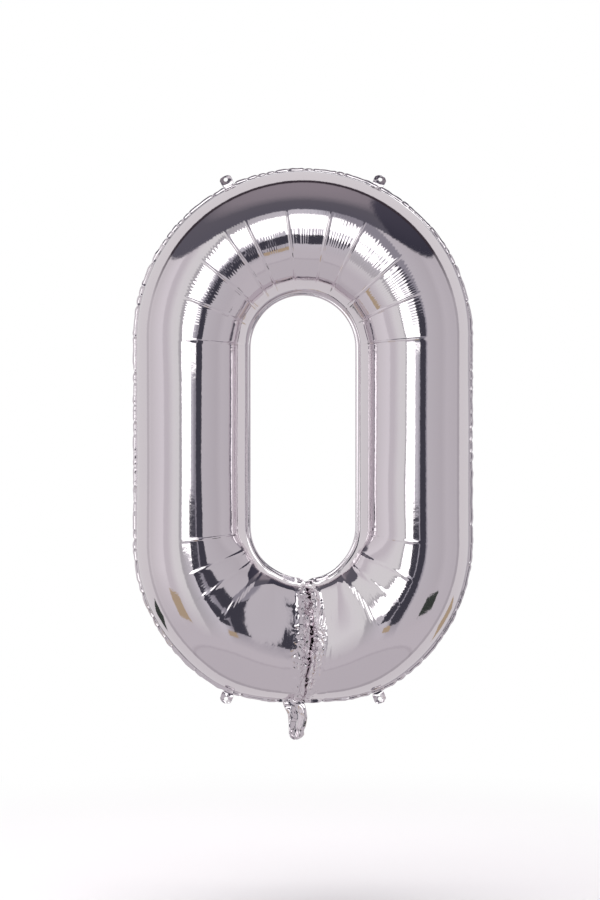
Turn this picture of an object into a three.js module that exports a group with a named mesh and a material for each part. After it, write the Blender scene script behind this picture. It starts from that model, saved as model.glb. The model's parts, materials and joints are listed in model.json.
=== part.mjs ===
// Foil number balloon, numeral 0, inflated. Millimetres, +Z up, the front faces -Y.
// The origin is midway between the holes of the two top hanging tabs.
//
// Two sheets of metallised film are welded together round the outer edge, round the hole
// and along one band across the stroke at the bottom. Gas goes in through the tail beside
// that band, between two thin valve films that close by themselves. Four die-cut tabs with
// a hole each stand on the outer edge.

import * as THREE from 'three';
import { ParametricGeometry } from 'three/addons/geometries/ParametricGeometry.js';
import { mergeVertices } from 'three/addons/utils/BufferGeometryUtils.js';

// ---- Numeral, measured between seam edges of the inflated balloon
const numeralWidth = 548;
const numeralHeight = 875;      // between the full end arcs, before the bottom is gathered
const holeWidth = 169;
const holeHeight = 456;
const holeRise = 4;             // the hole sits this much above the middle of the numeral
const tubeDepth = 180;          // front of the front sheet to back of the rear sheet
const seamFlange = 6;           // width of the flat weld round every edge

// ---- Film and weld
const filmWall = 0.5;           // thickness of one sheet as a solid
const weldGap = 0.3;            // clearance kept between the two sheets where they are welded

// ---- Weld band across the bottom stroke
const bandWidth = 8;
const endLength = 45;           // length over which the tube closes down to the band
const gatherLift = 13;          // how far the puckered band pulls the bottom edge up
const gatherSpan = 35;          // degrees of the outer end arc that the pull reaches

// ---- Hanging tabs
const tabAngle = 26;            // degrees from the vertical, on the end arcs
const tabWidth = 20;
const tabLength = 17;
const tabHoleDiameter = 6.5;
const tabHoleInset = 9;         // from the fold line to the hole's centre

// ---- Filling tail and its valve
const tailWidth = 34;
const tailLength = 58;
const valveWidth = 20;
const valveSideClearance = 2;   // from the weld band to the valve's near edge
const valveShare = 0.575;        // the valve's length as a share of the stroke's height at the band
const valveFilm = 0.3;
const valveRootRise = 10;       // from the inner side of the weld to the valve's lower end
const foldClearance = 0.3;      // added to a folding piece's thickness to leave its fold free

// ---- Facets
const arcSteps = 10;            // stations on each quarter of an end arc
const sideSteps = 4;            // stations along each straight side
const endSteps = 6;             // stations where the tube closes down to the band
const acrossSteps = 12;         // facets across the bulge

const outerRadius = numeralWidth / 2;
const outerHalfStraight = (numeralHeight - numeralWidth) / 2;
const holeRadius = holeWidth / 2;
const holeHalfStraight = (holeHeight - holeWidth) / 2;
const bulgeDepth = (tubeDepth - weldGap) / 2 - filmWall;
const seamThickness = weldGap + 2 * filmWall;
const foldGap = seamThickness + foldClearance;
// The tail and the valve stand on one line beside the weld band, towards -X.
const neckOffset = bandWidth / 2 + valveSideClearance + valveWidth / 2;
const tabAngleRadians = THREE.MathUtils.degToRad(tabAngle);
const tabHoleRadiusOnArc = outerRadius + foldGap + tabHoleInset;

// Height of the numeral's middle in the part's frame, whose origin lies between the top tab holes.
const middleZ = -outerHalfStraight - tabHoleRadiusOnArc * Math.cos(tabAngleRadians);

// ---- Outlines
// A station on the ring is an outward direction, turned from straight down towards -X, and
// a place along the straight sides, from -1 at the bottom arcs to +1 at the top arc.

function outerEdge(turn, along) {
  const reach = Math.min(turn, 2 * Math.PI - turn) / THREE.MathUtils.degToRad(gatherSpan);
  const lift = reach < 1 ? gatherLift * (0.5 + 0.5 * Math.cos(Math.PI * reach)) : 0;
  return new THREE.Vector2(
    -outerRadius * Math.sin(turn),
    middleZ + along * outerHalfStraight - outerRadius * Math.cos(turn) + lift
  );
}

function holeEdge(turn, along) {
  return new THREE.Vector2(
    -holeRadius * Math.sin(turn),
    middleZ + holeRise + along * holeHalfStraight - holeRadius * Math.cos(turn)
  );
}

// The way straight out from the outer edge, square to the edge between two near stations.
function outwardFrom(turn, along) {
  const nearby = 1e-4;
  const ahead = outerEdge(turn + nearby, along);
  const tangent = ahead.sub(outerEdge(turn - nearby, along)).normalize();
  return new THREE.Vector2(-tangent.y, tangent.x);
}

const bottomEdge = outerEdge(0, -1).y;
const valveLength = valveShare * (holeEdge(0, -1).y - bottomEdge);

// ---- Stations round the ring, from the weld band clockwise as seen from the front
// Each one tells where its line across the stroke meets both edges, and how far the
// tube's closing end has swung: 0 at the band, a quarter turn where the tube is full.

function bandStation(distance, swing) {
  return {
    outerTurn: Math.asin(distance / outerRadius),
    holeTurn: Math.asin(distance / holeRadius),
    along: -1,
    swing,
  };
}

function leftHalfStations() {
  const stations = [];
  const bandEdge = bandWidth / 2;
  const fullAt = bandEdge + endLength;
  stations.push(bandStation(0, 0));
  for (let i = 0; i <= endSteps; i++) {
    stations.push({ ...bandStation(fullAt, (i / endSteps) * (Math.PI / 2)), closing: true });
  }
  const last = stations[stations.length - 1];
  for (let i = 1; i <= arcSteps; i++) {
    const share = i / arcSteps;
    stations.push({
      outerTurn: THREE.MathUtils.lerp(last.outerTurn, Math.PI / 2, share),
      holeTurn: THREE.MathUtils.lerp(last.holeTurn, Math.PI / 2, share),
      along: -1,
      swing: Math.PI / 2,
    });
  }
  for (let i = 1; i <= sideSteps; i++) {
    const along = THREE.MathUtils.lerp(-1, 1, i / sideSteps);
    stations.push({ outerTurn: Math.PI / 2, holeTurn: Math.PI / 2, along, swing: Math.PI / 2 });
  }
  for (let i = 1; i <= arcSteps; i++) {
    const turn = THREE.MathUtils.lerp(Math.PI / 2, Math.PI, i / arcSteps);
    stations.push({ outerTurn: turn, holeTurn: turn, along: 1, swing: Math.PI / 2 });
  }
  return stations;
}

function ringStations() {
  const left = leftHalfStations();
  const right = left.slice(1, -1).reverse().map((station) => ({
    ...station,
    mirrored: true,
  }));
  return [...left, ...right, left[0]];
}

// Where a station's line starts and ends for one skin of the sheet. A closing station slides
// towards the band by the cosine of its swing, so that the tube ends in a quarter ellipse.
function stationLine(station, skinOffset) {
  let { outerTurn, holeTurn } = station;
  if (station.closing) {
    const fullAt = bandWidth / 2 + endLength;
    const distance = fullAt - (endLength + skinOffset) * Math.cos(station.swing);
    outerTurn = Math.asin(distance / outerRadius);
    holeTurn = Math.asin(distance / holeRadius);
  }
  if (station.mirrored) {
    outerTurn = 2 * Math.PI - outerTurn;
    holeTurn = 2 * Math.PI - holeTurn;
  }
  return {
    hole: holeEdge(holeTurn, station.along),
    outer: outerEdge(outerTurn, station.along),
  };
}

// ---- Foil panels
// One skin of a sheet across the stroke: flat weld, half ellipse, flat weld. Step 0 is the
// hole's edge, steps 1 to acrossSteps + 1 run over the bulge and the last is the outer edge.
function skinPoint(station, step, skinOffset, side, target) {
  const { hole, outer } = stationLine(station, skinOffset);
  const middle = hole.clone().add(outer).multiplyScalar(0.5);
  const across = outer.clone().sub(middle);
  const halfStroke = across.length();
  across.normalize();

  const halfBulge = halfStroke - seamFlange + skinOffset;
  let reach = step === 0 ? -halfStroke : halfStroke;
  let depth = 0;
  if (step > 0 && step < acrossSteps + 2) {
    const swing = ((step - 1) / acrossSteps) * Math.PI;
    reach = -halfBulge * Math.cos(swing);
    depth = (bulgeDepth + skinOffset) * Math.sin(swing) * Math.sin(station.swing);
  }
  const spot = middle.addScaledVector(across, reach);
  return target.set(spot.x, side * (weldGap / 2 + skinOffset + depth), spot.y);
}

// A sheet is one surface closed both ways: round the ring, and across the stroke over its
// outer skin and back under its inner skin. side is -1 for the front and +1 for the rear.
function foilPanel(side) {
  const stations = ringStations();
  const skinSteps = acrossSteps + 2;
  const loopSteps = 2 * (skinSteps + 1);
  const surface = (u, v, target) => {
    const station = stations[Math.round(u * (stations.length - 1))];
    const lap = Math.round((side < 0 ? v : 1 - v) * loopSteps) % loopSteps;
    const onOuterSkin = lap <= skinSteps;
    const step = onOuterSkin ? lap : loopSteps - 1 - lap;
    return skinPoint(station, step, onOuterSkin ? filmWall : 0, side, target);
  };
  return closedBody(new ParametricGeometry(surface, stations.length - 1, loopSteps));
}

function closedBody(geometry) {
  geometry.deleteAttribute('normal');
  geometry.deleteAttribute('uv');
  return mergeVertices(geometry, 1e-4);
}

// ---- Hanging tab: a flat ear with a round hole, its fold line on local X at y = 0
function tabGeometry() {
  const earRadius = tabWidth / 2;
  const ear = new THREE.Shape();
  ear.moveTo(-earRadius, foldGap / 2);
  ear.lineTo(earRadius, foldGap / 2);
  ear.lineTo(earRadius, tabLength - earRadius);
  ear.absarc(0, tabLength - earRadius, earRadius, 0, Math.PI, false);
  ear.closePath();
  const hole = new THREE.Path();
  hole.absarc(0, tabHoleInset + foldGap / 2, tabHoleDiameter / 2, 0, 2 * Math.PI, true);
  ear.holes.push(hole);
  return layer(ear, -seamThickness / 2, seamThickness, 8);
}

// ---- Tail film: straight sides and a rounded mouth, hanging down from its fold line
function tailGeometry(side) {
  const mouthRadius = tailWidth / 3;
  const film = new THREE.Shape();
  film.moveTo(-tailWidth / 2, -foldGap / 2);
  film.lineTo(-tailWidth / 2, -tailLength + mouthRadius);
  film.absarc(-tailWidth / 2 + mouthRadius, -tailLength + mouthRadius, mouthRadius,
    Math.PI, 1.5 * Math.PI, false);
  film.absarc(tailWidth / 2 - mouthRadius, -tailLength + mouthRadius, mouthRadius,
    1.5 * Math.PI, 2 * Math.PI, false);
  film.lineTo(tailWidth / 2, -foldGap / 2);
  film.closePath();
  return layer(film, side < 0 ? weldGap / 2 : -weldGap / 2 - filmWall, filmWall, 6);
}

// ---- Valve film: a plain strip standing above the neck
function valveGeometry(side) {
  const strip = new THREE.Shape();
  strip.moveTo(-valveWidth / 2, 0);
  strip.lineTo(valveWidth / 2, 0);
  strip.lineTo(valveWidth / 2, valveLength);
  strip.lineTo(-valveWidth / 2, valveLength);
  strip.closePath();
  return layer(strip, side < 0 ? weldGap / 2 : -weldGap / 2 - valveFilm, valveFilm, 1);
}

// A flat layer of film: the outline is drawn in x and height, and its thickness runs from
// `from` towards the front.
function layer(outline, from, thickness, curveSegments) {
  const geometry = new THREE.ExtrudeGeometry(outline, {
    depth: thickness,
    bevelEnabled: false,
    curveSegments,
  });
  geometry.translate(0, 0, from);
  geometry.rotateX(Math.PI / 2);
  return closedBody(geometry);
}

// ---- Materials
const foilSilver = { color: 0xcfc8cf, roughness: 0.08, metalness: 1 };
const valveClear = { color: 0xe8eaec, roughness: 0.35, metalness: 0 };

function piece(name, geometry, finish, place = [0, 0, 0]) {
  const mesh = new THREE.Mesh(geometry, new THREE.MeshStandardMaterial(finish));
  mesh.name = name;
  mesh.position.set(...place);
  return mesh;
}

// ---- Assembly
const balloon = new THREE.Group();
balloon.add(piece('front_foil_panel', foilPanel(-1), foilSilver));
balloon.add(piece('rear_foil_panel', foilPanel(1), foilSilver));

const neckX = -neckOffset;
const valvePlace = [neckX, 0, bottomEdge + seamFlange + valveRootRise];
balloon.add(piece('valve_front_film', valveGeometry(-1), valveClear, valvePlace));
balloon.add(piece('valve_rear_film', valveGeometry(1), valveClear, valvePlace));

const tailPlace = [neckX, 0, bottomEdge - foldGap / 2];
balloon.add(piece('tail_front_film', tailGeometry(-1), foilSilver, tailPlace));
balloon.add(piece('tail_rear_film', tailGeometry(1), foilSilver, tailPlace));

const tabTurns = {
  top_left: Math.PI - tabAngleRadians,
  top_right: Math.PI + tabAngleRadians,
  bottom_left: tabAngleRadians,
  bottom_right: 2 * Math.PI - tabAngleRadians,
};
for (const [corner, turn] of Object.entries(tabTurns)) {
  const along = corner.startsWith('top') ? 1 : -1;
  const edge = outerEdge(turn, along);
  const outward = outwardFrom(turn, along);
  const spot = new THREE.Group();
  spot.position.set(edge.x, 0, edge.y);
  spot.rotation.y = Math.atan2(outward.x, outward.y);
  spot.add(piece(`hanging_tab_${corner}`, tabGeometry(), foilSilver, [0, 0, foldGap / 2]));
  balloon.add(spot);
}

export default balloon;
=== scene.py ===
"""Foil number balloon, numeral 0: the looks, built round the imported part. Metres, +Z up, front -Y."""

import json
import bpy
import numpy as np
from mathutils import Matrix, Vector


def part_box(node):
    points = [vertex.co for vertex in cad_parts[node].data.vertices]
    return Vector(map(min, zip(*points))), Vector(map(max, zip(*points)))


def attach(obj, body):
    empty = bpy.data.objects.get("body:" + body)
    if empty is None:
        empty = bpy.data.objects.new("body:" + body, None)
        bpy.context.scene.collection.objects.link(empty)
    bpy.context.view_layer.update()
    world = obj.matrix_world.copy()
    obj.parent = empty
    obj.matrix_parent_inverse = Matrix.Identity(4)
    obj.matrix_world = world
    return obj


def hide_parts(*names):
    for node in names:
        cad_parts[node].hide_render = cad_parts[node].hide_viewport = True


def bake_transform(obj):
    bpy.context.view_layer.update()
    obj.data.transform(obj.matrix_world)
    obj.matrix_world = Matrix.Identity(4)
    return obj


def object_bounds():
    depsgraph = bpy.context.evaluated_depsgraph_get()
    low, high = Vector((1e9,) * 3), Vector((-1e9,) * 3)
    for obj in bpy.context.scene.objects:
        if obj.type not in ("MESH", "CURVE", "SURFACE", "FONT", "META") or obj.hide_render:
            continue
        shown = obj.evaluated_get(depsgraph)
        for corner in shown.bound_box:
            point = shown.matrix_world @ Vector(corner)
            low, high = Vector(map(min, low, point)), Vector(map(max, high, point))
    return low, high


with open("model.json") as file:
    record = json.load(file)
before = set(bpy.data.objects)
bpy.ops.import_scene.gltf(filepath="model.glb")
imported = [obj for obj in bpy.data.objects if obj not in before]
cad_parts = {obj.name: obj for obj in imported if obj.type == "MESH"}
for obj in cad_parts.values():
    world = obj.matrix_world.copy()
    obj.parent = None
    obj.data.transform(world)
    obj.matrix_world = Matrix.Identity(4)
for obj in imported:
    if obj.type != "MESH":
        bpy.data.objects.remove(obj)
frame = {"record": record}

cad_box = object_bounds()


# ---- Front and rear foil sheets ------------------------------------------------------------
# Two sheets of metallised film, welded together round the outer edge, round the hole and along
# one band across the bottom stroke. Gas blows them up into a round tube. Flat film can't bend
# round an arc, so it creases on the hole's side and puckers along the outer weld.

sheet_low, sheet_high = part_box("front_foil_panel")
OUTER_R = (sheet_high.x - sheet_low.x) / 2
BULGE = -sheet_low.y - 0.0003
NUMERAL_H = 0.875               # between the full outer arcs, before the band gathers the bottom
HOLE_R = 0.0845
HOLE_H = 0.456
HOLE_RISE = 0.004               # the hole sits a little above the middle
WELD = 0.006                    # flat weld along each edge
LAYER = 0.0002                  # half the distance between the two sheets where they are welded
FILM = 0.00025                  # thick enough to render, where the real film is 0.04 mm
GATHER_LIFT = 0.013             # how far the band pulls the outer edge up
GATHER_SPAN = np.radians(35)    # and how far round the arc that reaches
TOP_Z = sheet_high.z - OUTER_R
BOTTOM_Z = sheet_high.z - NUMERAL_H + OUTER_R
MIDDLE_Z = (TOP_Z + BOTTOM_Z) / 2
HOLE_REACH = HOLE_H / 2 - HOLE_R

TAPER_LENGTH = 0.18             # over which a lobe thins a little towards the band
TAPER = 0.28                    # the share of its depth that it loses that way
LEAN = 0.34                     # how far its crest leans to the hole, as a share of half the stroke
HOLE_TAPER = 0.15               # what the half beside the hole loses besides
CHAMFER = 0.35                  # slope of the half beside the hole, on the bottom arcs
CREASE_FLOOR = 0.54             # share of the depth left where the two lobes press on each other
PATCH = 0.036                   # the crumpled stretch each side of the band has finer rows
NEAR = 0.050                    # up to here the lines across the stroke run parallel to the band

BULGE_ROWS = 30
WELD_ROWS = 2
FINE = 6                        # rows of the crumpled stretch to each row of the rest

# Where the deep creases stand, in degrees round the hole's arcs from straight up or down.
TOP_CREASES = (-88, -68, -50, -35, -25, -7, 12, 27, 48, 66, 87)
LOW_CREASES = (-84, -68, -56, -43, -30, 25, 38, 52, 65, 83)
CREASE_HALF = 0.0015            # half the width of a crease
TOP_CREASE, LOW_CREASE = 0.0011, 0.0010        # how deep the creases are
FACET_TILT = 0.0011             # how far a facet's middle stands in or out
WIDE_FACET = 15                 # half a facet, in degrees, that is too wide to run straight
PLAIN = 32                      # the low arcs have no facets nearer to straight down than this

CREST_R = 0.187                 # radius of the arcs at the tube's crest
RIB_PITCH = 0.0048
TOP_RIB, LOW_RIB = 0.00008, 0.00003            # how high the ribs on the crest are
UNEVEN = 0.0007                 # slow unevenness of the whole film

PUCKER_PITCH = 0.017            # mean distance between the pinches along the outer weld
PUCKER_DEPTH = 0.0024
PUCKER_REACH = 0.008            # distance from the weld in which a pinch fades to a third
RUFFLE = 0.0005                 # waviness of the weld itself, out of its plane

# Channels along the hole: how far in from the weld over the film, half width, depth.
CHANNELS = ((0.027, 0.0036, 0.0012), (0.043, 0.0034, 0.0018), (0.057, 0.0030, 0.0008))

ZIGZAG_PITCH = 0.0115           # of the folds along the band
STRIP_END, STRIP_SWELL = 0.014, 0.009          # half the crumpled strip's width, and its gain halfway


def grid_noise(seed, x, y=0.0):
    """Smooth noise from -1 to 1: random values on whole numbers, eased between them with
    3t^2 - 2t^3 along x and y."""
    table = np.random.default_rng(seed).uniform(-1, 1, (257, 257))
    x, y = np.broadcast_arrays(np.asarray(x, float), np.asarray(y, float))
    i, j = np.floor(x).astype(int), np.floor(y).astype(int)
    s, t = x - i, y - j
    s, t = s * s * (3 - 2 * s), t * t * (3 - 2 * t)
    i, j = i % 256, j % 256
    low = table[i, j] * (1 - s) + table[i + 1, j] * s
    high = table[i, j + 1] * (1 - s) + table[i + 1, j + 1] * s
    return low * (1 - t) + high * t


def ease(x, start, end):
    """0 before start, 1 after end, and 3t^2 - 2t^3 between them."""
    t = np.clip((x - start) / (end - start), 0, 1)
    return t * t * (3 - 2 * t)


def ring_columns():
    """Lines across the stroke, from the band clockwise seen from the front. Each has an outward
    turn from straight down at both edges, a place along the sides from -1 to 1, and a distance
    from the band. Beside the band the lines run parallel to it."""
    near = np.linspace(PATCH, NEAR, 10)
    near_outer, near_hole = np.arcsin(near / OUTER_R), np.arcsin(near / HOLE_R)
    share = np.linspace(0, 1, 151)[1:]
    arc_outer = near_outer[-1] + (np.pi / 2 - near_outer[-1]) * share
    arc_hole = near_hole[-1] + (np.pi / 2 - near_hole[-1]) * share
    side = np.linspace(-1, 1, 131)[1:]
    top = np.linspace(np.pi / 2, np.pi * 1.5, 521)[1:]
    low = np.full(len(near) + len(share), -1.0)
    outer = np.concatenate([near_outer, arc_outer, np.full(130, np.pi / 2), top,
                            np.full(130, np.pi * 1.5), 2 * np.pi - arc_outer[-2::-1],
                            2 * np.pi - near_outer[::-1]])
    hole = np.concatenate([near_hole, arc_hole, np.full(130, np.pi / 2), top,
                           np.full(130, np.pi * 1.5), 2 * np.pi - arc_hole[-2::-1],
                           2 * np.pi - near_hole[::-1]])
    along = np.concatenate([low, side, np.ones(len(top)), -side, low[1:]])
    gone = np.full(len(outer), 1.0)
    arc_gone = NEAR + (0.25 - NEAR) * share
    gone[:len(near)], gone[-len(near):] = near, near[::-1]
    gone[len(near):len(near) + 150], gone[-len(near) - 150:-len(near)] = arc_gone, arc_gone[::-1]
    return outer, hole, along, gone


def patch_columns():
    """The same lines on the crumpled stretch, from the right side of the band to the left."""
    x = np.linspace(-PATCH, PATCH, 49)
    turn = 2 * np.pi * (x < 0)
    return np.arcsin(x / OUTER_R) + turn, np.arcsin(x / HOLE_R) + turn, np.full(49, -1.0), abs(x)


def base_tube(columns, rows):
    """The plain inflated tube. Across the stroke it is a flat weld, half an ellipse and a flat
    weld again. On the bottom arcs the half beside the hole is (1 - t^5)^(1/5) less a slope, with
    t from 1 at the weld to 0 at the crest, and near the band it is (1 - t^3.6)^(1/3.6) and leans
    towards the hole. Towards the band the depth also loses TAPER (1 - d)^2.5, d being
    the distance over TAPER_LENGTH, then dives to CREASE_FLOOR as (1 - (1 - e)^2)^(1/2), e being
    the distance over the dive's length. The lobes touch there and hide the weld between them.
    Returns the points, and what the wrinkles need of each: whether it is on the top or the low
    arcs, its distance from the band, its swing in degrees from the hole's weld over the crest,
    its distance over the film from either weld, its turn in degrees from straight down, its
    place along the outer edge and round the crest, and its share of the way across."""
    outer, hole, along, gone = (c[:, None] for c in columns)
    reach = np.minimum(outer, 2 * np.pi - outer) / GATHER_SPAN
    lift = GATHER_LIFT * (0.5 + 0.5 * np.cos(np.pi * np.clip(reach, 0, 1)))
    outer_x = -OUTER_R * np.sin(outer)
    outer_z = MIDDLE_Z + along * (TOP_Z - MIDDLE_Z) - OUTER_R * np.cos(outer) + lift
    hole_x = -HOLE_R * np.sin(hole)
    hole_z = MIDDLE_Z + HOLE_RISE + along * HOLE_REACH - HOLE_R * np.cos(hole)
    hole_z = hole_z - 0.005 * np.exp(-(gone / 0.006) ** 2)
    half = np.hypot(outer_x - hole_x, outer_z - hole_z) / 2
    across_x, across_z = (outer_x - hole_x) / (2 * half), (outer_z - hole_z) / (2 * half)

    last = BULGE_ROWS + WELD_ROWS
    swing = np.clip((rows - WELD_ROWS) / BULGE_ROWS, 0, 1) * np.pi
    weld = np.clip(rows - last, 0, None) - np.clip(WELD_ROWS - rows, 0, None)
    inner = swing < np.pi / 2
    at_band, at_corner = 1 - ease(gone, 0.035, 0.135), 1 - ease(gone, 0.16, 0.25)
    t = np.abs(np.cos(swing)) ** (1 - 0.3 * at_corner * inner)
    run = np.sign(np.cos(swing)) * t
    sloped = np.clip(1 - t ** 5, 0, 1) ** 0.2 * (1 - CHAMFER * t ** 2 / (t + 0.2))
    flat = np.clip(1 - t ** 3.6, 0, 1) ** (1 / 3.6)
    rise = np.sqrt(np.clip(1 - t ** 2, 0, 1))
    rise = rise + (sloped - rise) * at_corner * inner
    rise = rise + (flat - rise) * at_band * inner
    lean = LEAN * at_band * np.sin(swing) ** 2
    distance = weld / WELD_ROWS * WELD - (half - WELD) * (run + lean)
    share = (distance + half) / (2 * half)
    dive = np.clip(gone / (0.013 + 0.008 * np.sin(np.pi * np.clip(share, 0, 1))), 0, 1)
    fill = CREASE_FLOOR + (1 - CREASE_FLOOR) * np.sqrt(1 - (1 - dive) ** 2)
    fill = fill * (1 - HOLE_TAPER * at_band * (1 - ease(share, 0.2, 0.8)))
    fill = fill * (1 - TAPER * (1 - np.clip(gone / TAPER_LENGTH, 0, 1)) ** 2.5)
    depth = BULGE * rise * fill
    x = (outer_x + hole_x) / 2 + across_x * distance
    z = (outer_z + hole_z) / 2 + across_z * distance
    points = np.stack([x, -depth, z], -1)

    along_edge = np.where(outer < 4, (along + 1) / 2, 1 + (1 - along) / 2)
    facts = {"top": along >= 1, "low": along <= -1, "gone": gone, "swing": np.degrees(swing),
             "from_hole": BULGE * swing, "from_outer": BULGE * (np.pi - swing),
             "hole_turn": np.degrees(np.minimum(hole, 2 * np.pi - hole)),
             "edge": OUTER_R * outer + (TOP_Z - BOTTOM_Z) * along_edge,
             "around": CREST_R * outer + 5.0 * (along < 1),
             "weld": weld / WELD_ROWS, "share": share}
    return points, {name: np.broadcast_to(fact, x.shape) for name, fact in facts.items()}


def outward_normals(points):
    """Unit normals of a grid surface, from the cross product of its two directions."""
    n = np.cross(np.gradient(points, axis=1), np.gradient(points, axis=0))
    return n / np.maximum(np.linalg.norm(n, axis=-1, keepdims=True), 1e-12)


def crease_place(turn_degrees, creases):
    """For each angle: degrees to the nearest crease, to the middle of its facet, half that
    facet's width, and the facet's number."""
    edges = np.array(creases, float)
    k = np.clip(np.searchsorted(edges, turn_degrees) - 1, 0, len(edges) - 2)
    middle, half = (edges[k] + edges[k + 1]) / 2, (edges[k + 1] - edges[k]) / 2
    nearest = np.abs(turn_degrees[..., None] - edges).min(-1)
    return nearest, turn_degrees - middle, half, k


def press_facets(points, at, normals, seed):
    """Facets and creases on the hole's side of the arcs. A facet runs straight from crease to
    crease, as the chord r cos(h) / cos(d) does, and a crease is e^-(d/w)^2 of its depth deep."""
    swing = at["swing"]
    for here, creases, flip, begin, end, sunk, plain in (
            (at["top"], TOP_CREASES, 1, 6, 92, TOP_CREASE, -9),
            (at["low"], LOW_CREASES, -1, 24, 82, LOW_CREASE, PLAIN)):
        rise = flip * (points[..., 2] - MIDDLE_Z - HOLE_RISE) - HOLE_REACH
        angle = np.degrees(np.arctan2(points[..., 0], rise))
        nearest, off, half, number = crease_place(angle, creases)
        radius = np.hypot(points[..., 0], rise)
        inside = here & (angle > creases[0]) & (angle < creases[-1]) & (half < WIDE_FACET)
        calm = ease(at["gone"], 0.030, 0.050) * ease(np.abs(angle), plain, plain + 8)
        weight = inside * calm * ease(swing, begin, begin + 18) * (1 - ease(swing, end - 12, end + 12))
        shrink = 1 - np.cos(np.radians(half)) / np.cos(np.radians(np.clip(off, -half, half)))
        pull = radius * shrink * weight
        points[..., 0] -= pull * points[..., 0] / radius
        points[..., 2] -= pull * flip * rise / radius
        away = radius * np.radians(nearest)
        length = here * calm * ease(swing, begin + 4, begin + 16) * (1 - ease(swing, end, end + 14))
        groove = sunk * np.exp(-(away / CREASE_HALF) ** 2) * length
        lean = grid_noise(seed + 3, number * 7.3, 2.0) * np.sin(np.radians(swing) * 3)
        points -= normals * (groove + FACET_TILT * lean * weight)[..., None]


def press_ribs(points, at, normals, seed):
    """Fine ridges across the crest, where the film is a little too long for the arc: a sine round
    the crest, with its pitch and height made uneven by noise."""
    swing, turn, around = at["swing"], at["hole_turn"], at["around"]
    beat = around / RIB_PITCH + 0.8 * grid_noise(seed + 5, around / 0.013, swing / 30)
    ribs = np.sin(2 * np.pi * beat) * (0.65 + 0.5 * grid_noise(seed + 6, around / 0.009))
    on_low = ease(turn, 48, 60) * (1 - ease(turn, 76, 88)) * at["low"]
    ribs = ribs * np.where(at["top"], ease(turn, 92, 104), on_low)
    ribs = ribs * ease(swing, 58, 82) * (1 - ease(swing, 98, 110))
    points -= normals * (np.where(at["low"], LOW_RIB, TOP_RIB) * ribs)[..., None]


def pucker_weld(points, at, normals, side):
    """Puckers along the outer weld: pinches about 10 to 30 mm apart, some deep and some barely
    there, each a bell curve along the weld that fades as e^-(d/reach) away from it."""
    edge = at["edge"]
    step = edge / PUCKER_PITCH + 0.9 * grid_noise(11, edge / 0.041)
    pull = np.clip(0.5 + 0.75 * grid_noise(12, np.floor(step)), 0.04, 1.2)
    pinch = np.exp(-((step % 1 - 0.5) / (0.08 + 0.06 * pull)) ** 2) * pull
    fade = np.exp(-at["from_outer"] / PUCKER_REACH) * ease(at["gone"], 0.0, 0.03)
    points -= normals * (PUCKER_DEPTH * pinch * fade)[..., None]
    ruffle = RUFFLE * grid_noise(13, edge / 0.013) + 0.0007 * (pinch - 0.3)
    points[..., 1] += side * -1 * ruffle * fade
    slack = (0.0008 * grid_noise(14, edge / 0.009) - 0.0016 * pinch) * fade * np.clip(at["weld"], 0, 1)
    out = np.gradient(points, axis=1)
    size = np.maximum(np.hypot(out[..., 0], out[..., 2]), 1e-9)
    points[..., 0] += slack * out[..., 0] / size
    points[..., 2] += slack * out[..., 2] / size


def press_channels(points, at, normals, seed):
    """The hole's weld draws shallow channels into the film beside it: bell curves of the distance
    from the weld, of uneven depth."""
    for place, width, deep in CHANNELS:
        uneven = 1 + 0.35 * grid_noise(seed + 15, at["around"] / 0.03, place * 100)
        bell = np.exp(-((at["from_hole"] - place) / width) ** 2) * ease(at["gone"], 0.02, 0.04)
        points -= normals * (deep * uneven * bell)[..., None]


def crumple_band(points, at, normals, side, seed):
    """The band is shorter than the film beside it, so that film lies in long folds down the
    strip, broken by a zigzag (a triangle wave along the band) and by flecks (noise). Where both
    sheets are close together they fold as one. The whole strip sways to one side as a parabola."""
    share, gone = at["share"], at["gone"]
    height, reach = share * 0.2, points[..., 0]
    wide = STRIP_END + STRIP_SWELL * np.sin(np.pi * np.clip(share, 0, 1))
    near = np.exp(-(gone / wide) ** 6)
    thin = np.exp(-(points[..., 1] / 0.010) ** 2)
    folds = height / ZIGZAG_PITCH + 1.0 * grid_noise(21, height / 0.014, reach / 0.010)
    folds = 2 * np.abs(2 * (folds % 1) - 1) - 1
    long_folds = grid_noise(seed + 22, height / 0.015 + 2 * folds * reach / 0.02, reach / 0.0036)
    flecks = grid_noise(seed + 26, height / 0.0050, reach / 0.0044)
    points[..., 1] += side * -1 * (0.0018 * folds) * near * thin
    crumple = 0.0010 * folds + 0.0032 * long_folds + 0.0010 * flecks - 0.0015
    points += normals * (crumple * near * (1 - thin))[..., None]
    ridge = np.exp(-((np.abs(reach) - 0.0035) / 0.0018) ** 2) * (1 - thin) * near
    points[..., 1] -= 0.0035 * ridge * (1 + 0.5 * grid_noise(seed + 25, height / 0.006))
    fan = np.sin(2 * np.pi * (height / 0.013 + 0.7 * grid_noise(seed + 23, height / 0.02, reach / 0.03)))
    points += normals * (0.0001 * fan * np.exp(-(gone / 0.034) ** 2))[..., None]
    sway = 0.005 + 0.0404 * share - 0.0494 * share ** 2 + 0.0015 * grid_noise(24, height / 0.012)
    points[..., 0] += sway * np.exp(-(gone / 0.055) ** 2)


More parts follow.
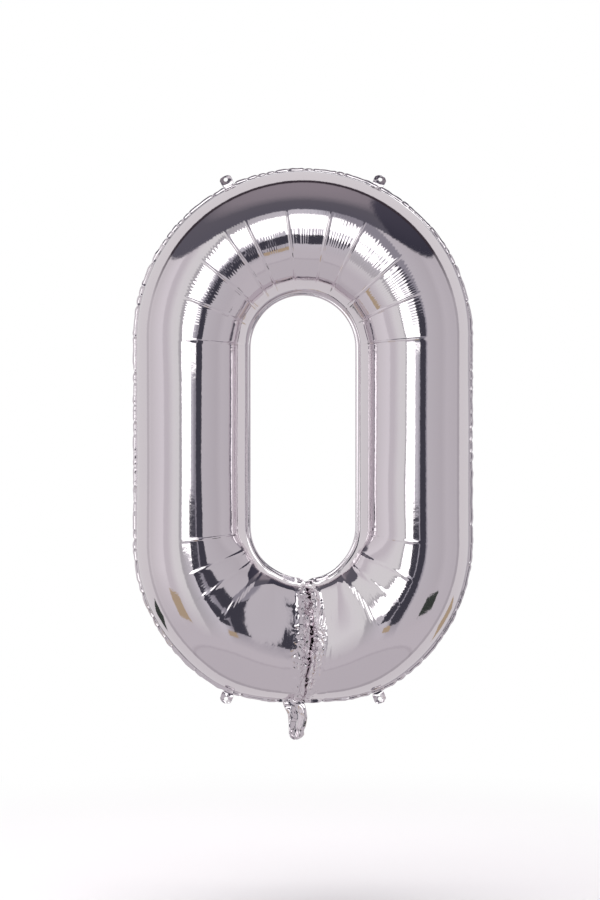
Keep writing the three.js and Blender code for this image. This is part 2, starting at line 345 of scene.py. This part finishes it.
def wrinkled_sheet(columns, rows, side, seed):
    """The plain tube, with each kind of wrinkle laid on it in turn along its first normals.
    side is -1 for the front sheet and 1 for the rear one, which mirrors it."""
    points, at = base_tube(columns, rows)
    normals = outward_normals(points)
    press_facets(points, at, normals, seed)
    press_ribs(points, at, normals, seed)
    slow = grid_noise(seed + 8, at["edge"] / 0.11, at["swing"] / 45)
    points += normals * (UNEVEN * slow * ease(at["gone"], 0.03, 0.06))[..., None]
    pucker_weld(points, at, normals, side)
    press_channels(points, at, normals, seed)
    crumple_band(points, at, normals, side, seed)
    points[..., 1] = side * -1 * (points[..., 1] - LAYER)
    return points


def quads(index):
    """One face for each cell of a grid of point numbers."""
    return np.stack([index[:-1, :-1], index[:-1, 1:], index[1:, 1:], index[1:, :-1]],
                    -1).reshape(-1, 4)


def ring_mesh(name, side, seed):
    """Joins the coarse ring and the fine stretch at the band in one sheet. A coarse face on the
    border takes in all the fine points on its edge, so the sheet has no gap there."""
    last_row = BULGE_ROWS + 2 * WELD_ROWS
    coarse = wrinkled_sheet(ring_columns(), np.arange(last_row + 1.0)[None], side, seed)
    fine = wrinkled_sheet(patch_columns(), np.arange(last_row * FINE + 1.0)[None] / FINE, side, seed)
    coarse = coarse[1:-1]
    columns, rows = coarse.shape[:2]
    fine_columns, fine_rows = fine.shape[:2]
    start = columns * rows
    c = np.arange(start).reshape(columns, rows)
    f = start + np.arange(fine_columns * fine_rows).reshape(fine_columns, fine_rows)

    faces = quads(c)[:, ::-side].tolist() + quads(f)[:, ::-side].tolist()
    for row in range(rows - 1):
        run = slice(row * FINE, (row + 1) * FINE + 1)
        right = f[-1, run].tolist() + [c[0, row + 1], c[0, row]]
        left = [c[-1, row], c[-1, row + 1]] + f[0, run][::-1].tolist()
        faces += [right[::-side], left[::-side]]
    mesh = bpy.data.meshes.new(name)
    mesh.from_pydata(np.concatenate([coarse.reshape(-1, 3), fine.reshape(-1, 3)]).tolist(), [], faces)
    mesh.update()
    mesh.polygons.foreach_set("use_smooth", [True] * len(mesh.polygons))
    return mesh


def linear(colour):
    """A hex colour in sRGB as linear red, green, blue and alpha."""
    value = np.array([int(colour[i:i + 2], 16) for i in (1, 3, 5)]) / 255
    value = np.where(value <= 0.04045, value / 12.92, ((value + 0.055) / 1.055) ** 2.4)
    return (*value.tolist(), 1.0)


def add(tree, kind, settings=None, inputs=None, links=None):
    """A node of that kind with its settings, the values of its inputs, and links into it."""
    node = tree.nodes.new(kind)
    for key, value in (settings or {}).items():
        setattr(node, key, value)
    for key, value in (inputs or {}).items():
        node.inputs[key].default_value = value
    for key, source in (links or {}).items():
        tree.links.new(source, node.inputs[key])
    return node


def metallised_film():
    """Polyester film with aluminium vapour laid on it: a near mirror, faintly pink and grey, with
    a slight haze that comes and goes and a fine crinkle from being folded flat in its packet."""
    material = bpy.data.materials.new("metallised_polyester_film")
    material.use_nodes = True
    tree = material.node_tree
    shader = tree.nodes["Principled BSDF"]
    where = add(tree, "ShaderNodeTexCoord").outputs["Object"]
    haze = add(tree, "ShaderNodeTexNoise", None, {"Scale": 14.0, "Detail": 3.0}, {"Vector": where})
    rough = add(tree, "ShaderNodeMapRange", None, {"To Min": 0.035, "To Max": 0.085},
                {"Value": haze.outputs["Fac"]})
    tint = add(tree, "ShaderNodeTexNoise", None, {"Scale": 5.0, "Detail": 2.0}, {"Vector": where})
    colour = add(tree, "ShaderNodeValToRGB", None, None, {"Fac": tint.outputs["Fac"]})
    colour.color_ramp.elements[0].color = linear("#EBE6EA")
    colour.color_ramp.elements[1].color = linear("#F0EAED")
    crinkle = add(tree, "ShaderNodeTexNoise", None, {"Scale": 130.0, "Detail": 3.0}, {"Vector": where})
    bump = add(tree, "ShaderNodeBump", None, {"Strength": 0.10, "Distance": 0.0006},
               {"Height": crinkle.outputs["Fac"]})
    shader.inputs["Metallic"].default_value = 1.0
    tree.links.new(colour.outputs["Color"], shader.inputs["Base Color"])
    tree.links.new(rough.outputs["Result"], shader.inputs["Roughness"])
    tree.links.new(bump.outputs["Normal"], shader.inputs["Normal"])
    return material


film = metallised_film()

for sheet_name, cad_node, side, seed in (("front_sheet", "front_foil_panel", -1, 100),
                                         ("rear_sheet", "rear_foil_panel", 1, 200)):
    sheet = bpy.data.objects.new(sheet_name, ring_mesh(sheet_name, side, seed))
    bpy.context.scene.collection.objects.link(sheet)
    sheet.data.materials.append(film)
    wall = sheet.modifiers.new("film_thickness", "SOLIDIFY")
    wall.thickness = FILM
    wall.offset = -1
    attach(sheet, "envelope")
    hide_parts(cad_node)


# ---- Filling tail ---------------------------------------------------------------------------
# Two films, die-cut with the sheets and welded along their sides only, so that a straw goes in
# at the mouth. Nothing fills it, so it hangs limp, leans and wrinkles lengthwise.

THIN_FILM = 0.00012


def film_piece(name, cad_node, points, closed, material):
    """A film from a grid of points, closed round its first direction or open, a tenth of a
    millimetre thick."""
    columns, rows = points.shape[:2]
    index = np.arange(columns * rows).reshape(columns, rows)
    if closed:
        index = np.concatenate([index, index[:1]])
    mesh = bpy.data.meshes.new(name)
    mesh.from_pydata(points.reshape(-1, 3).tolist(), [], quads(index).tolist())
    mesh.polygons.foreach_set("use_smooth", [True] * len(mesh.polygons))
    mesh.materials.append(material)
    mesh.update()
    piece = bpy.data.objects.new(name, mesh)
    bpy.context.scene.collection.objects.link(piece)
    wall = piece.modifiers.new("film_thickness", "SOLIDIFY")
    wall.thickness = THIN_FILM
    wall.offset = 0
    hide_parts(cad_node)
    return piece


joints = {joint["name"]: joint for joint in frame["record"]["behaviour"]["joints"]}
tail_low, tail_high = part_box("tail_front_film")
tail_root = joints["tail_fold"]["pos_m"]
TAIL_W = tail_high.x - tail_low.x
TAIL_OVERLAP = 0.004            # how far the tail's film shows in front of the sheets' weld

u = np.linspace(-1, 1, 29)[:, None]
v = np.linspace(0, 1, 61)[None]
for side, cad_node in ((-1, "tail_front_film"), (1, "tail_rear_film")):
    mouth = np.sqrt(1 - np.clip((v - 0.82) / 0.18, 0, 0.97) ** 2)
    half_width = TAIL_W / 2 * (1 - 0.26 * ease(v, 0.05, 0.9)) * mouth
    centre = tail_root[0] + 0.0065 * ease(v, 0.0, 0.45) + 0.0015 * np.sin(5 * v)
    x = centre + u * half_width + 0.0008 * grid_noise(31, v * 9, u * 2)
    z = tail_root[2] + TAIL_OVERLAP - v * (tail_root[2] + TAIL_OVERLAP - tail_low.z) + 0 * u
    folds = 0.0022 * np.sin(2 * np.pi * (0.75 * u + 0.35 * v + 0.1)) * ease(v, 0.02, 0.3)
    folds = folds + 0.0011 * grid_noise(32, u * 2.2 + 4, v * 3.5) * ease(v, 0.0, 0.2)
    folds = folds + 0.0007 * grid_noise(33, u * 6 + 9, v * 13) * ease(v, 0.0, 0.1)
    curl = -0.0050 * np.clip(-u - 0.55, 0, 1) ** 1.5 * ease(v, 0.05, 0.3)
    y = folds + curl + side * (0.0008 - 0.0003 * v + 0.0016 * v ** 2 * (1 - u ** 2))
    piece = film_piece("tail_front" if side < 0 else "tail_rear", cad_node, np.stack([x, y, z], -1),
                       False, film)
    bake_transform(piece)


# ---- Hanging tabs ---------------------------------------------------------------------------
# Four ears of the welded sheets with a punched hole, for a line or an adhesive dot. The heat of
# the weld and the pull of the gas leave them curled, with a crumpled rim.

TAB_HALF = 0.0098               # half the ear's width
TAB_HOLE = 0.00325
HOLE_OUT = 0.0098               # from the fold line to the hole's centre
TAB_TIP, TAB_FOOT = 0.0071, 0.0125             # from the hole's centre to the tip and the root
TAB_LEAN = {"top": -0.32, "bottom": 0.06}         # slope of the whole ear, forwards if positive
TAB_CURL = {"top": -0.0028, "bottom": 0.0022}     # how far its tip curls besides
TAB_CRUMPLE = {"top": 0.0010, "bottom": 0.0014}

round_hole = np.linspace(0, 2 * np.pi, 73)[:-1, None]
reach = np.linspace(0, 1, 12)[None]
for number, corner in enumerate(("top_left", "top_right", "bottom_left", "bottom_right")):
    joint = joints[f"tab_{corner}_fold"]
    fold, along_fold = np.array(joint["pos_m"]), np.array(joint["axis"])
    outward = np.array([-along_fold[2], 0, along_fold[0]])
    cosine, sine = np.cos(round_hole), np.sin(round_hole)
    blunt = np.where(sine > 0, 1.0, 0.45)
    rim_x = TAB_HALF * np.sign(cosine) * np.abs(cosine) ** blunt
    rim_y = np.where(sine > 0, TAB_TIP, TAB_FOOT) * np.sign(sine) * np.abs(sine) ** blunt
    rim_y = rim_y + 0.0006 * grid_noise(40 + number, round_hole * 3) * (sine > 0)
    along_x = TAB_HOLE * cosine * (1 - reach) + rim_x * reach
    along_y = HOLE_OUT + TAB_HOLE * sine * (1 - reach) + rim_y * reach
    free = ease(along_y, 0.0, 0.006)
    arc = corner.split("_")[0]
    curl = 0.0024 * (along_x / TAB_HALF) ** 2 + TAB_CURL[arc] * (along_y / 0.017) ** 2
    curl = curl + TAB_LEAN[arc] * along_y
    crumple = TAB_CRUMPLE[arc] * grid_noise(50 + number, along_x / 0.0045 + 9, along_y / 0.0045)
    depth = 0.0007 + free * (curl + crumple * (0.5 + 0.5 * reach))
    points = fold + along_x[..., None] * along_fold + along_y[..., None] * outward
    points = points + depth[..., None] * np.array([0, -1.0, 0])
    piece = film_piece(f"tab_{corner}", f"hanging_tab_{corner}", points, True, film)
    start, end = fold - outward * 0.001, fold + outward * 0.004
    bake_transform(piece)


# ---- Self-sealing valve ---------------------------------------------------------------------
# Two strips of clear polyethylene inside the balloon above the neck. The gas presses them
# together, which keeps it in. The rear one stands on the flap that parts for a straw.

def polyethylene():
    """Blown polyethylene film: clear but milky, softly glossy and a little uneven."""
    material = bpy.data.materials.new("blown_polyethylene_film")
    material.use_nodes = True
    tree = material.node_tree
    shader = tree.nodes["Principled BSDF"]
    where = add(tree, "ShaderNodeTexCoord").outputs["Object"]
    cloud = add(tree, "ShaderNodeTexNoise", None, {"Scale": 60.0, "Detail": 2.0}, {"Vector": where})
    milky = add(tree, "ShaderNodeValToRGB", None, None, {"Fac": cloud.outputs["Fac"]})
    milky.color_ramp.elements[0].color = linear("#E4E6E8")
    milky.color_ramp.elements[1].color = linear("#F2F4F5")
    gloss = add(tree, "ShaderNodeMapRange", None, {"To Min": 0.28, "To Max": 0.42},
                {"Value": cloud.outputs["Fac"]})
    shader.inputs["Transmission Weight"].default_value = 0.55
    shader.inputs["IOR"].default_value = 1.51
    tree.links.new(milky.outputs["Color"], shader.inputs["Base Color"])
    tree.links.new(gloss.outputs["Result"], shader.inputs["Roughness"])
    return material


clear_film = polyethylene()
u = np.linspace(0, 1, 15)[:, None]
v = np.linspace(0, 1, 70)[None]
for side, cad_node, body in ((-1, "valve_front_film", "envelope"), (1, "valve_rear_film", "valve_flap")):
    low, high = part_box(cad_node)
    x = low.x + u * (high.x - low.x) + 0.0003 * grid_noise(61, v * 8)
    z = low.z + v * (high.z - low.z) + 0 * u
    y = side * (0.0004 + 0.0004 * (1 + grid_noise(62 + side, u * 2, v * 6)))
    piece = film_piece(cad_node.replace("_film", ""), cad_node, np.stack([x + 0 * z, y, z], -1), False,
                       clear_film)
    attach(piece, body)


# ---- Floor, light and camera ---------------------------------------------------------------
# A round floor below the balloon, which floats, a softbox above it, and the room that the foil
# mirrors: flat cards for its window and furniture, and a sky for its walls, ceiling and floor.

FLOOR_R = 3.2
FLOOR_DROP = 0.30               # from the balloon's lowest point
floor_z = cad_box[0].z - FLOOR_DROP
bpy.ops.mesh.primitive_circle_add(vertices=96, radius=FLOOR_R, fill_type="NGON",
                                  location=(0, 0, floor_z))
floor = bpy.context.object
floor.name = "floor"

# Matt white paint: it takes a soft shadow below the balloon and runs out into plain white.
pale = bpy.data.materials.new("pale_painted_floor")
pale.use_nodes = True
pale_tree = pale.node_tree
paint = pale_tree.nodes["Principled BSDF"]
paint.inputs["Base Color"].default_value = linear("#F4F2F3")
paint.inputs["Roughness"].default_value = 0.9
glow = add(pale_tree, "ShaderNodeEmission", None, {"Color": linear("#FFFFFF"), "Strength": 1.0})
place = add(pale_tree, "ShaderNodeTexCoord").outputs["Object"]
far = add(pale_tree, "ShaderNodeVectorMath", {"operation": "LENGTH"}, None, {0: place})
fading = add(pale_tree, "ShaderNodeMapRange", {"interpolation_type": "SMOOTHSTEP"},
             {"From Min": 0.5, "From Max": 1.5}, {"Value": far.outputs["Value"]})
mixed = add(pale_tree, "ShaderNodeMixShader", None, None,
            {"Fac": fading.outputs["Result"], 1: paint.outputs["BSDF"], 2: glow.outputs["Emission"]})
pale_tree.links.new(mixed.outputs["Shader"], pale_tree.nodes["Material Output"].inputs["Surface"])
floor.data.materials.append(pale)
floor.visible_glossy = False

lamp_data = bpy.data.lights.new("softbox", "AREA")
lamp_data.shape = "RECTANGLE"
lamp_data.size = 2.4
lamp_data.size_y = 1.8
lamp_data.energy = 90
lamp = bpy.data.objects.new("softbox", lamp_data)
lamp.location = (-0.3, -0.3, 1.9)
lamp.visible_glossy = False
bpy.context.scene.collection.objects.link(lamp)


def card(name, azimuths, elevations, colour, strength, distance=6.0):
    """A flat card that shows only in the foil. It faces the balloon's middle from that distance
    and covers those azimuths and elevations, in degrees right of and above the camera."""
    (a0, a1), (e0, e1) = np.radians(azimuths), np.radians(elevations)
    a, e = (a0 + a1) / 2, (e0 + e1) / 2
    look = np.array([-np.sin(a) * np.cos(e), np.cos(a) * np.cos(e), -np.sin(e)])
    centre = np.array([0, 0, MIDDLE_Z]) - distance * look
    right = np.cross(look, [0, 0, 1.0])
    right /= np.linalg.norm(right)
    right *= distance * np.tan((a1 - a0) / 2) * np.cos(e)
    up = np.cross(right, look)
    up *= distance * np.tan((e1 - e0) / 2) / np.linalg.norm(up)
    corners = [centre + right * x + up * y for x, y in ((-1, -1), (1, -1), (1, 1), (-1, 1))]
    mesh = bpy.data.meshes.new(name)
    mesh.from_pydata([corner.tolist() for corner in corners], [], [(0, 1, 2, 3)])
    piece = bpy.data.objects.new(name, mesh)
    bpy.context.scene.collection.objects.link(piece)
    material = bpy.data.materials.new(name)
    material.use_nodes = True
    tree = material.node_tree
    tree.nodes.remove(tree.nodes["Principled BSDF"])
    light = add(tree, "ShaderNodeEmission", None, {"Color": linear(colour), "Strength": strength})
    tree.links.new(light.outputs["Emission"], tree.nodes["Material Output"].inputs["Surface"])
    mesh.materials.append(material)
    piece.visible_camera = False


for end, turn in (("front", 0), ("rear", 180)):
    card(f"window_{end}", (-19 + turn, 0 + turn), (-5, 28), "#FFFFFF", 1.7)
    card(f"window_right_{end}", (0 + turn, 10 + turn), (5, 28), "#FFFFFF", 1.4)
    card(f"dark_stand_{end}", (10 + turn, 22 + turn), (-24, 12), "#53525E", 0.6, 5.8)
    card(f"dark_camera_{end}", (-4 + turn, 8 + turn), (-18, -3), "#53525E", 0.6, 5.7)
    card(f"dark_green_{end}", (48 + turn, 68 + turn), (-31, -24), "#4A514C", 0.6, 5.8)
    card(f"beige_{end}", (2 + turn, 12 + turn), (-30, -24), "#CDB89C", 0.72, 5.8)
    card(f"beige_left_{end}", (-62 + turn, -45 + turn), (-33, -22), "#CDB89C", 0.72, 5.8)

world = bpy.data.worlds.new("studio")
bpy.context.scene.world = world
world.use_nodes = True
tree = world.node_tree
backdrop = tree.nodes["Background"]
backdrop.inputs["Strength"].default_value = 0.72
split = add(tree, "ShaderNodeSeparateXYZ", None, None,
            {"Vector": add(tree, "ShaderNodeTexCoord").outputs["Generated"]})


def ramp(source, stops):
    """A colour ramp over source, from -1 to 1, with stops of place and hex colour."""
    share = add(tree, "ShaderNodeMapRange", None, {"From Min": -1.0, "From Max": 1.0}, {"Value": source})
    node = add(tree, "ShaderNodeValToRGB", None, None, {"Fac": share.outputs["Result"]})
    for _ in stops[2:]:
        node.color_ramp.elements.new(0.5)
    for element, (place, colour) in zip(node.color_ramp.elements, stops):
        element.position = (place + 1) / 2
        element.color = linear(colour)
    return node.outputs["Color"]


def layered(factor, under, over):
    """over where factor is 1, under where it is 0."""
    return add(tree, "ShaderNodeMix", {"data_type": "RGBA"}, None,
               {"Factor": factor, "A": under, "B": over}).outputs["Result"]


# The walls by azimuth, the same ahead and behind; the ceiling and the floor by height; the white
# wall beyond the balloon, and the dark joint where that wall meets the ceiling overhead.
ahead = add(tree, "ShaderNodeMath", {"operation": "ABSOLUTE"}, None, {0: split.outputs["Y"]})
azimuth = add(tree, "ShaderNodeMath", {"operation": "ARCTAN2"}, None,
              {0: split.outputs["X"], 1: ahead.outputs["Value"]})
azimuth = add(tree, "ShaderNodeMath", {"operation": "DIVIDE"}, {1: np.pi}, {0: azimuth.outputs["Value"]})
walls = ramp(azimuth.outputs["Value"], [(degrees / 180, colour) for degrees, colour in (
    (-90, "#F0EBEF"), (-64, "#FFFAFF"), (-59, "#FFFAFF"), (-56, "#E9E3E9"), (-48, "#E9E3E9"),
    (-36, "#FFFDFF"), (-24, "#FFFFFF"), (-22, "#C8C6CA"), (-1, "#EDEAF2"), (3, "#E6E5EE"),
    (9, "#A8A5B0"), (22, "#A8A5B0"), (24, "#E0DCE2"), (55, "#D8D3D9"), (68, "#E2DDE3"), (90, "#DED9DF"))])
floor_tone = ramp(split.outputs["Z"], ((-1.0, "#DED8DE"), (-0.78, "#DFD9DF"), (-0.755, "#D3CCD3"),
                                       (-0.73, "#E4DEE4"), (-0.3, "#E2DCE2")))
ceiling = ramp(split.outputs["Z"], ((0.48, "#6E6B76"), (0.56, "#6A6874"), (0.78, "#706D77"),
                                    (0.90, "#9F979F"), (0.99, "#A79EA6")))
room = layered(ramp(split.outputs["Z"], ((-0.60, "#FFFFFF"), (-0.22, "#000000"))), walls, floor_tone)
beyond = ramp(split.outputs["X"], ((0.41, "#000000"), (0.45, "#FFFFFF")))
ceiling = layered(beyond, ceiling, ramp(split.outputs["Z"], ((0.5, "#403F4D"), (0.95, "#575462"))))
room = layered(ramp(split.outputs["Z"], ((0.555, "#000000"), (0.575, "#FFFFFF"))), room, ceiling)
white_wall = ramp(split.outputs["Z"], ((-0.5, "#F6F2F5"), (0.5, "#FFFCFE")))
is_wall = ramp(split.outputs["Y"], ((0.25, "#000000"), (0.27, "#FFFFFF"), (0.84, "#FFFFFF"),
                                    (0.87, "#000000")))
room = layered(is_wall, room, white_wall)
over = ramp(split.outputs["Z"], ((0.30, "#7E7E7E"), (0.65, "#FFFFFF")))
joint = ramp(split.outputs["Y"], ((0.11, "#000000"), (0.14, "#FFFFFF"), (0.24, "#FFFFFF"),
                                  (0.26, "#000000")))
line = add(tree, "ShaderNodeMath", {"operation": "MULTIPLY"}, None, {0: over, 1: joint})
room = layered(line.outputs["Value"], room, ramp(split.outputs["Z"], ((0, "#4A424A"), (1, "#453C44"))))
tree.links.new(room, backdrop.inputs["Color"])
white = add(tree, "ShaderNodeBackground", None, {"Color": (1, 1, 1, 1), "Strength": 1.0})
seen = add(tree, "ShaderNodeLightPath").outputs["Is Camera Ray"]
both = add(tree, "ShaderNodeMixShader", None, None, {"Fac": seen, 1: backdrop.outputs["Background"],
                                                     2: white.outputs["Background"]})
tree.links.new(both.outputs["Shader"], tree.nodes["World Output"].inputs["Surface"])

CAMERA_AWAY = 3.0
FRAME_HEIGHT = 1.4505           # height of what the camera sees in the balloon's plane
camera_data = bpy.data.cameras.new("camera")
camera_data.sensor_fit = "VERTICAL"
camera_data.lens = camera_data.sensor_height * CAMERA_AWAY / FRAME_HEIGHT
camera = bpy.data.objects.new("camera", camera_data)
camera.location = (-0.0048, -CAMERA_AWAY, MIDDLE_Z - 0.017)
camera.rotation_euler = (np.pi / 2, 0, 0)
bpy.context.scene.collection.objects.link(camera)
bpy.context.scene.camera = camera
bpy.context.scene.view_settings.view_transform = "Standard"
